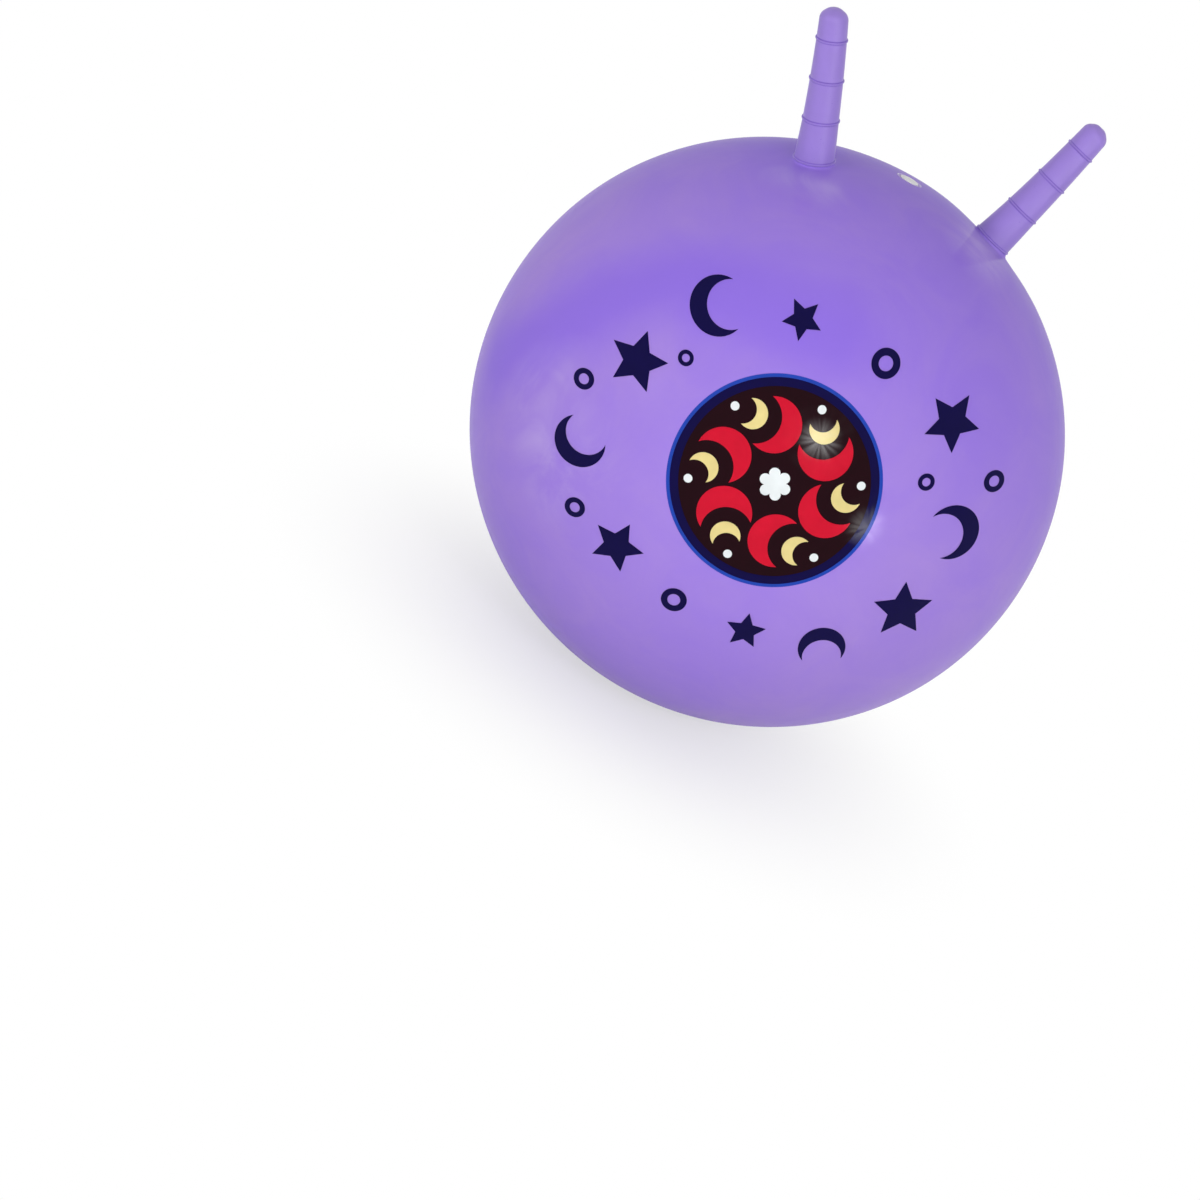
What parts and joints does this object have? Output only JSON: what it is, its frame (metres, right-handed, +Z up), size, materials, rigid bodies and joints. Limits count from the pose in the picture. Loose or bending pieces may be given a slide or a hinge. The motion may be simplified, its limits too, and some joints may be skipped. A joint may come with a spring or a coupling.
{
  "type": "hopper ball",
  "caption": "Inflated soft ball with ribbed horn handles to hold while sitting and bouncing on it, a plugged air valve and a printed front.",
  "frame": {"origin": "centre of the flat patch on which the ball rests on the floor", "axes": "+Z up through the crown, which lies 2.4 degrees in front of the air valve, -Y out of the front with the print, horns in the XZ plane at -X and +X"},
  "size_m": [0.45, 0.4499, 0.5374],
  "materials": {
    "ball_pvc": "glossy soft PVC, slightly translucent",
    "horn_pvc": "satin soft PVC",
    "seat_pvc": "glossy soft PVC, thick",
    "plug_white": "moulded polyethylene",
    "ink_navy": "gloss printing ink",
    "ink_maroon": "gloss printing ink",
    "ink_red": "gloss printing ink",
    "ink_cream": "gloss printing ink",
    "ink_white": "gloss printing ink",
    "ink_blue": "gloss printing ink"
  },
  "bodies": {
    "ball": {"ball_skin": "ball_pvc", "valve_seat": "seat_pvc", "print_navy": "ink_navy", "print_maroon": "ink_maroon", "print_red": "ink_red", "print_cream": "ink_cream", "print_white": "ink_white", "print_blue": "ink_blue"},
    "left_horn": {"left_horn": "horn_pvc"},
    "right_horn": {"right_horn": "horn_pvc"},
    "plug": {"valve_plug": "plug_white"}
  },
  "joints": [
    {"name": "left_horn_flex", "type": "hinge", "parent": "ball", "child": "left_horn", "pos_m": [-0.07377, 0, 0.41379], "axis": [0.9252, 0, 0.3795], "range_deg": [-15, 15], "stiffness_Nm_per_rad": 5},
    {"name": "right_horn_flex", "type": "hinge", "parent": "ball", "child": "right_horn", "pos_m": [0.07539, 0, 0.41324], "axis": [0.9646, 0, -0.2639], "range_deg": [-15, 15], "stiffness_Nm_per_rad": 5},
    {"name": "plug_pull", "type": "slide", "parent": "ball", "child": "plug", "axis": [0, 0.0419, 0.9991], "range_m": [0, 0.03]}
  ]
}
